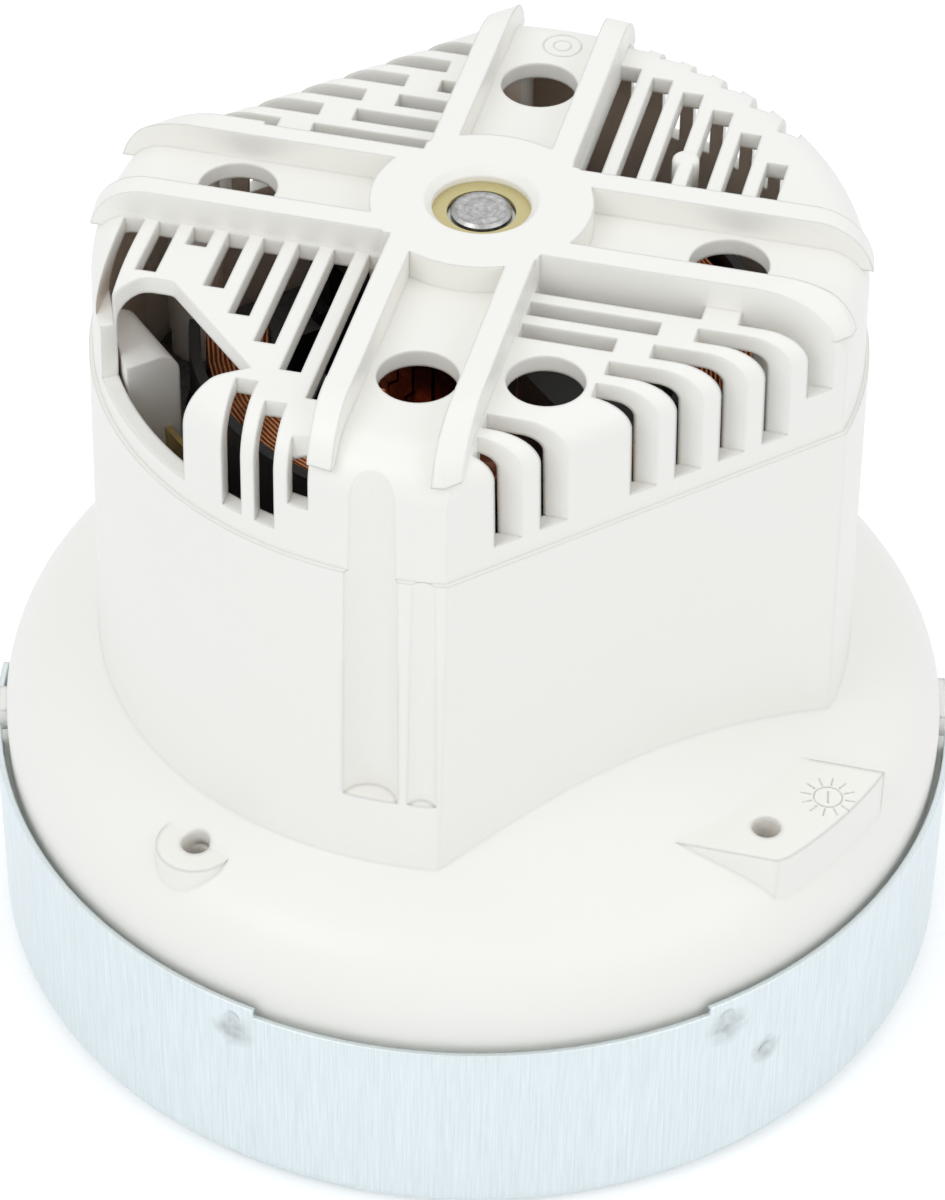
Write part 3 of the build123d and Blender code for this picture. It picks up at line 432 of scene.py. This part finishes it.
CAST = mottled(
    "cast_aluminium", (0.55, 0.55, 0.56), (0.48, 0.48, 0.49), 0.5, 0.15, 0.00002, grain=1200.0,
    metallic=0.9)

FINISHES = {
    "white_plastic": WHITE, "cover_steel": COVER, "grey_plastic": GREY, "cast_aluminium": CAST,
    "screw_steel": SCREW, "gold_ring": GOLD, "damper_rubber": RUBBER, "bearing_steel": GROUND,
    "core_steel": LAMINATION, "black_plastic": BLACK, "copper_wire": COPPER_WITH_PAINTED_GLINTS,
    "commutator_copper": BARS, "brass_sheet": BRASS, "spring_steel": SPRING, "carbon": CARBON,
    "shaft_steel": TURNED, "sheet_aluminium": ALUMINIUM}


def dress_nodes():
    """Gives every CAD node the finish of its slot."""
    slots = {part["node"]: part["material_slot"] for part in frame["record"]["subparts"]}
    for name, node in frame["nodes"].items():
        node.data.materials.clear()
        node.data.materials.append(FINISHES[slots[name]])


dress_nodes()


# Wire, in millimetres

def wire_object(name, runs, thick, roundness, turn):
    """Round wire along the runs given, turned about Z by degrees."""
    data = bpy.data.curves.new(name, "CURVE")
    data.dimensions = "3D"
    data.bevel_depth = thick * MM
    data.bevel_resolution = roundness
    data.use_fill_caps = True
    spin = Matrix.Rotation(math.radians(turn), 4, "Z")
    for run in runs:
        spline = data.splines.new("POLY")
        spline.points.add(len(run) - 1)
        for point, place in zip(spline.points, run):
            point.co = (*(spin @ (place * MM)), 1.0)
    wire = bpy.data.objects.new(name, data)
    bpy.context.scene.collection.objects.link(wire)
    return wire


def winding(name, runs, thick, body, turn=0.0):
    """A wound piece of enamelled copper."""
    piece = wire_object(name, runs, thick, 1, turn)
    piece.data.materials.append(COPPER_WITH_PAINTED_GLINTS)
    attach(piece, body)
    return piece


# Field coils

CORE_MIDDLE = 67.0
COIL_ANGLE = 30.0
COIL_NEAR = 28.0
COIL_PITCH = 0.6
COIL_WIRES = 14
COIL_LAYERS = 12
COIL_WIRE = 0.29
COIL_SIDE = 9.95
COIL_RISE = 18.9
COIL_SCATTER = 0.08
END_STEPS = 8
CORNER_STEPS = 4
POLES = {"front": 225.0, "rear": 45.0}


def loop_place(radius, turn, side, end, out):
    """A point of a coil's loop; out goes from the end's arc at 0 to the straight side at 1."""
    lean = math.radians(side * COIL_ANGLE)
    along = turn * math.sin(math.radians(90.0 * out))
    up = COIL_RISE + turn * math.cos(math.radians(90.0 * out))
    return Vector((
        radius * math.cos(lean) - side * along * math.sin(lean),
        radius * math.sin(lean) + side * along * math.cos(lean), CORE_MIDDLE + end * up))


def loop_end(radius, turn, side, end):
    """The run over one end of the core, from one side to the other."""
    points = [
        loop_place(radius, turn, side, end, 1.0 - step / CORNER_STEPS) for step in range(CORNER_STEPS)]
    height = loop_place(radius, turn, side, end, 0.0).z
    for step in range(END_STEPS + 1):
        angle = math.radians(side * COIL_ANGLE * (1.0 - 2.0 * step / END_STEPS))
        points.append(Vector((radius * math.cos(angle), radius * math.sin(angle), height)))
    points += [
        loop_place(radius, turn, -side, end, (step + 1) / CORNER_STEPS) for step in range(CORNER_STEPS)]
    return points


def coil_points(seed):
    """The whole wire of a field coil, layer by layer."""
    chance = random.Random(seed)
    points = []
    for layer in range(COIL_LAYERS):
        order = range(COIL_WIRES) if layer % 2 == 0 else reversed(range(COIL_WIRES))
        for place in order:
            radius = COIL_NEAR + COIL_PITCH * place
            turn = COIL_SIDE - COIL_PITCH * layer - chance.uniform(0.0, COIL_SCATTER)
            points += loop_end(radius, turn, 1, 1) + loop_end(radius, turn, -1, -1)
    return points


def field_coils():
    """The two field coils, each one unbroken wire."""
    for seed, (place, turn) in enumerate(POLES.items()):
        coil = winding(f"wound_coil_{place}", [coil_points(seed)], COIL_WIRE, "motor_body", turn)
        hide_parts(f"field_coil_{place}")


# Armature

BUNDLE_INNER = 6.6
BUNDLE_OUTER = 20.4
BUNDLE_HEIGHT = 8.6
BUNDLE_ROUND = 3.2
BUNDLE_SETBACK = 0.55
BEND_STEPS = 6
SLOT_COUNT = 12
SLOT_CIRCLE = 16.6
SLOT_FILL = 2.9
SLOT_SIDES = 20
CORE_FEET = {1: 83.0, -1: 51.0}
STRAND = 0.27
STRANDS_PER_SLOT = 9
STRAND_STEPS = 18
STRAND_SPAN = 75.0
STRAND_SWING = 4.0
STRAND_NEAREST = 7.4
STRAND_SPREAD = 0.55
STRAND_SCATTER = 0.1
STRAND_SINK = 0.22
STRAND_DEPTHS = 3
STRAND_SEED = 11


def new_piece(name, mesh, material, body, smooth=True):
    """An object from a finished bmesh, facing outwards."""
    bmesh.ops.remove_doubles(mesh, verts=mesh.verts, dist=1e-6)
    bmesh.ops.recalc_face_normals(mesh, faces=mesh.faces)
    data = bpy.data.meshes.new(name)
    mesh.to_mesh(data)
    mesh.free()
    if smooth:
        data.shade_smooth()
    else:
        data.shade_flat()
    piece = bpy.data.objects.new(name, data)
    bpy.context.scene.collection.objects.link(piece)
    data.materials.append(material)
    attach(piece, body)
    return piece


def spin_profile(mesh, profile, steps=64):
    """Spins a closed profile of radius and height, in millimetres, about Z."""
    verts = [mesh.verts.new((r * MM, 0.0, z * MM)) for r, z in profile]
    edges = [mesh.edges.new((a, b)) for a, b in zip(verts, verts[1:] + verts[:1])]
    bmesh.ops.spin(
        mesh, geom=verts + edges, cent=(0, 0, 0), axis=(0, 0, 1), dvec=(0, 0, 0),
        angle=math.tau, steps=steps, use_merge=True)


def bend(middle_radius, middle_height, radius, start, steps=BEND_STEPS):
    """A quarter circle of a profile, from an angle in degrees."""
    turns = [math.radians(start + 90.0 * step / steps) for step in range(steps + 1)]
    return [
        (middle_radius + radius * math.cos(turn), middle_height + radius * math.sin(turn)) for turn in turns]


def bundle_profile(end):
    """The section of the winding under its strands, beyond one end of the core."""
    outer, inner = BUNDLE_OUTER - BUNDLE_SETBACK, BUNDLE_INNER + BUNDLE_SETBACK
    shoulder = BUNDLE_HEIGHT - BUNDLE_SETBACK - BUNDLE_ROUND
    points = [(inner, 0.0), (outer, 0.0)]
    points += bend(outer - BUNDLE_ROUND, shoulder, BUNDLE_ROUND, 0.0)
    points += bend(inner + BUNDLE_ROUND, shoulder, BUNDLE_ROUND, 90.0)
    return [(r, CORE_FEET[end] + end * z) for r, z in points]


def strand_height(radius):
    """How high a strand lies at a radius, over the end of the core."""
    outer, inner = BUNDLE_OUTER - STRAND, BUNDLE_INNER + STRAND
    near = min(outer - radius, radius - inner)
    rest = max(BUNDLE_ROUND - max(near, 0.0), 0.0)
    rise = math.sqrt(max(BUNDLE_ROUND ** 2 - rest ** 2, 0.0))
    return BUNDLE_HEIGHT - STRAND - BUNDLE_ROUND + rise


def strand_run(end, middle, nearest, sink):
    """One strand over an end of the armature, from its slot round the shaft to another."""
    foot = CORE_FEET[end]
    pull = math.degrees(math.acos(nearest / (BUNDLE_OUTER - STRAND))) / STRAND_SPAN
    run = []
    for step in range(STRAND_STEPS + 1):
        off = STRAND_SPAN * (2.0 * step / STRAND_STEPS - 1.0)
        radius = nearest / math.cos(math.radians(off * pull))
        height = strand_height(radius) - sink * math.cos(math.radians(off))
        turn = math.radians(middle + off)
        run.append(Vector((radius * math.cos(turn), radius * math.sin(turn), foot + end * height)))
    first, last = run[0].copy(), run[-1].copy()
    first.z = last.z = foot
    return [first, *run, last]


def strand_runs():
    """The strands of both ends of the armature."""
    chance = random.Random(STRAND_SEED)
    runs = []
    for end in CORE_FEET:
        for slot in range(SLOT_COUNT):
            for strand in range(STRANDS_PER_SLOT):
                middle = 360.0 / SLOT_COUNT * slot + chance.uniform(-STRAND_SWING, STRAND_SWING)
                nearest = STRAND_NEAREST + STRAND_SPREAD * strand
                nearest += chance.uniform(-STRAND_SCATTER, STRAND_SCATTER)
                runs.append(strand_run(end, middle, nearest, STRAND_SINK * (strand % STRAND_DEPTHS)))
    return runs


def armature():
    """The rotor's winding: a bundle at each end, the filled slots and the strands over them."""
    mesh = bmesh.new()
    for end in CORE_FEET:
        spin_profile(mesh, bundle_profile(end))
    for slot in range(SLOT_COUNT):
        turn = math.tau / SLOT_COUNT * slot
        place = Vector((SLOT_CIRCLE * math.cos(turn), SLOT_CIRCLE * math.sin(turn), CORE_MIDDLE)) * MM
        bmesh.ops.create_cone(
            mesh, cap_ends=True, segments=SLOT_SIDES, radius1=SLOT_FILL * MM, radius2=SLOT_FILL * MM,
            depth=(CORE_FEET[1] - CORE_FEET[-1]) * MM, matrix=Matrix.Translation(place))
    bundle = new_piece("armature_bundle", mesh, DARK_COPPER, "rotor")
    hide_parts("armature_winding")
    winding("armature_strands", strand_runs(), STRAND, "rotor")


# Brush springs

SPRING_NEAR = 28.25
SPRING_FAR = 35.9
SPRING_HEIGHT = 99.4
SPRING_RADIUS = 2.4
SPRING_WIRE = 0.4
SPRING_TURNS = 4
SPRING_DEAD_PITCH = 2.1 * SPRING_WIRE
SPRING_STEPS = 24
BRUSHES = {"left": 135.0, "right": -45.0}


def spring_run():
    """A compression spring along X, with a closed turn at each end."""
    live_end = SPRING_TURNS + 1
    marks = [
        (0, SPRING_NEAR), (1, SPRING_NEAR + SPRING_DEAD_PITCH),
        (live_end, SPRING_FAR - SPRING_DEAD_PITCH), (live_end + 1, SPRING_FAR)]
    run = []
    for (first, low), (last, high) in zip(marks, marks[1:]):
        count = (last - first) * SPRING_STEPS
        for step in range(count + (last > live_end)):
            turn = math.tau * (first + step / SPRING_STEPS)
            run.append(Vector((
                low + (high - low) * step / count,
                SPRING_RADIUS * math.cos(turn), SPRING_HEIGHT + SPRING_RADIUS * math.sin(turn))))
    return run


def brush_springs():
    """The springs behind the brushes, built at one fixed length; the real ones shorten as a brush slides
    back.
    """
    for side, turn in BRUSHES.items():
        wire = wire_object(f"spring_wire_{side}", [spring_run()], SPRING_WIRE, 2, turn)
        bpy.context.view_layer.update()
        mesh = bpy.data.meshes.new_from_object(wire.evaluated_get(bpy.context.evaluated_depsgraph_get()))
        bpy.data.objects.remove(wire)
        mesh.shade_smooth()
        mesh.materials.clear()
        mesh.materials.append(SPRING)
        spring = bpy.data.objects.new(f"coiled_spring_{side}", mesh)
        bpy.context.scene.collection.objects.link(spring)
        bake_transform(spring)
        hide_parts(f"brush_spring_{side}")


field_coils()
armature()
brush_springs()


# Marks of the mould and the pin, in millimetres

MARK_PROUD = 0.07
MARK_SUNK = 0.2
MARK_STEPS = 48
DIAL_PLACE = (54.5, -24.7, 48.5)
DIAL_TICKS = 12
DIAL_REACH = (2.3, 3.7)
DIAL_TICK_WIDTH = 0.22
DIAL_RING = (1.9, 0.2)
DIAL_HAND = 1.1
DIAL_HAND_WIDTH = 0.25
DIAL_HAND_ANGLE = 100.0
ARM_MARK_PLACE = (0.9, 42.6, 114.8)
ARM_MARK_RINGS = [(2.6, 0.25), (1.2, 0.2)]
PIN_PLACE = (22.57, 21.25)
PIN_RADIUS = 1.8
PIN_ENDS = (104.0, 115.0)
PIN_ROUND = 0.7


def ring_mark(mesh, place, radius, width):
    """A fine raised ring on a level face."""
    x, y, z = place
    inner, outer = radius - width / 2, radius + width / 2
    low, high = z - MARK_SUNK, z + MARK_PROUD
    before = set(mesh.verts)
    spin_profile(mesh, [(inner, low), (outer, low), (outer, high), (inner, high)], steps=MARK_STEPS)
    fresh = [vert for vert in mesh.verts if vert not in before]
    bmesh.ops.translate(mesh, vec=(x * MM, y * MM, 0.0), verts=fresh)


def tick_mark(mesh, place, turn, start, end, width):
    """A fine raised bar that points away from a middle."""
    x, y, z = place
    depth = MARK_PROUD + MARK_SUNK
    bmesh.ops.create_cube(mesh, size=1.0, matrix=(
        Matrix.Translation((x * MM, y * MM, (z - MARK_SUNK + depth / 2) * MM))
        @ Matrix.Rotation(turn, 4, "Z") @ Matrix.Translation(((start + end) / 2 * MM, 0.0, 0.0))
        @ Matrix.Diagonal(((end - start) * MM, width * MM, depth * MM, 1.0))))


def mould_marks():
    """A plain dial on the plateau and plain rings on an arm, with no letters."""
    mesh = bmesh.new()
    for tick in range(DIAL_TICKS):
        tick_mark(mesh, DIAL_PLACE, math.tau / DIAL_TICKS * tick, *DIAL_REACH, DIAL_TICK_WIDTH)
    ring_mark(mesh, DIAL_PLACE, *DIAL_RING)
    tick_mark(mesh, DIAL_PLACE, math.radians(DIAL_HAND_ANGLE), -DIAL_HAND, DIAL_HAND, DIAL_HAND_WIDTH)
    new_piece("dial_mark", mesh, WHITE, "motor_body", smooth=False)
    mesh = bmesh.new()
    for radius, width in ARM_MARK_RINGS:
        ring_mark(mesh, ARM_MARK_PLACE, radius, width)
    new_piece("arm_mark", mesh, WHITE, "motor_body", smooth=False)


def slot_pin():
    """The round pin between two ribs at the back right."""
    mesh = bmesh.new()
    low, high = PIN_ENDS
    edge = bend(PIN_RADIUS - PIN_ROUND, high - PIN_ROUND, PIN_ROUND, 0.0, steps=5)
    spin_profile(mesh, [(0.0, low), (PIN_RADIUS, low), *edge, (0.0, high)], steps=32)
    bmesh.ops.translate(mesh, vec=(PIN_PLACE[0] * MM, PIN_PLACE[1] * MM, 0.0), verts=mesh.verts)
    new_piece("slot_pin", mesh, WHITE, "motor_body")


mould_marks()
slot_pin()


# Stage and lights, in metres and watts

FLOOR_REACH = 6.0
FLOOR_COLOR = (0.90, 0.90, 0.90, 1.0)
FLOOR_GLOW = 0.22
FLOOR_DROP = 0.0001
PURE_WHITE = (1.0, 1.0, 1.0, 1.0)
WORLD_LIGHT = (0.760, 0.780, 0.807, 1.0)
LAMPS = [
    ("key", (-0.5, -0.8, 1.0), 0.8, 2.9), ("fill", (0.8, -0.4, 0.7), 0.9, 1.5),
    ("top", (0.0, 0.3, 1.3), 0.9, 1.5)]


def seen_directly(tree):
    """One where the camera, or a mirror or glass, looks at the surface."""
    path = tree.nodes.new("ShaderNodeLightPath")
    total = path.outputs["Is Camera Ray"]
    for ray in ("Is Glossy Ray", "Is Transmission Ray"):
        most = tree.nodes.new("ShaderNodeMath")
        most.operation = "MAXIMUM"
        tree.links.new(total, most.inputs[0])
        tree.links.new(path.outputs[ray], most.inputs[1])
        total = most.outputs["Value"]
    return total


def lay_floor():
    """A pale floor that is white to the camera and still takes a shadow."""
    material, tree, shader = new_material("pale_floor")
    shader.inputs["Base Color"].default_value = FLOOR_COLOR
    shader.inputs["Roughness"].default_value = 0.9
    shader.inputs["Specular IOR Level"].default_value = 0.0
    shader.inputs["Emission Color"].default_value = PURE_WHITE
    glow = tree.nodes.new("ShaderNodeMath")
    glow.operation = "MULTIPLY"
    glow.inputs[1].default_value = FLOOR_GLOW
    tree.links.new(seen_directly(tree), glow.inputs[0])
    tree.links.new(glow.outputs["Value"], shader.inputs["Emission Strength"])
    mesh = bmesh.new()
    bmesh.ops.create_grid(mesh, x_segments=1, y_segments=1, size=FLOOR_REACH)
    data = bpy.data.meshes.new("floor")
    mesh.to_mesh(data)
    mesh.free()
    floor = bpy.data.objects.new("floor", data)
    floor.location.z = -FLOOR_DROP
    bpy.context.scene.collection.objects.link(floor)
    data.materials.append(material)


def area_light(name, place, size, power):
    """A large soft lamp that looks at the part."""
    data = bpy.data.lights.new(name, "AREA")
    data.shape = "DISK"
    data.size = size
    data.energy = power
    lamp = bpy.data.objects.new(name, data)
    bpy.context.scene.collection.objects.link(lamp)
    lamp.location = place
    lamp.rotation_euler = (TARGET - Vector(place)).to_track_quat("-Z", "Y").to_euler()


def light_world():
    """White all round, at full strength where it is seen directly."""
    world = bpy.data.worlds.new("studio")
    bpy.context.scene.world = world
    world.use_nodes = True
    tree = world.node_tree
    color = tree.nodes.new("ShaderNodeMix")
    color.data_type = "RGBA"
    color.inputs["A"].default_value = WORLD_LIGHT
    color.inputs["B"].default_value = PURE_WHITE
    tree.links.new(seen_directly(tree), color.inputs["Factor"])
    background = tree.nodes["Background"]
    background.inputs["Strength"].default_value = 1.0
    tree.links.new(color.outputs["Result"], background.inputs["Color"])


lay_floor()
light_world()
for lamp_name, lamp_place, lamp_size, lamp_power in LAMPS:
    area_light(lamp_name, lamp_place, lamp_size, lamp_power)

bpy.context.scene.view_settings.view_transform = "Standard"
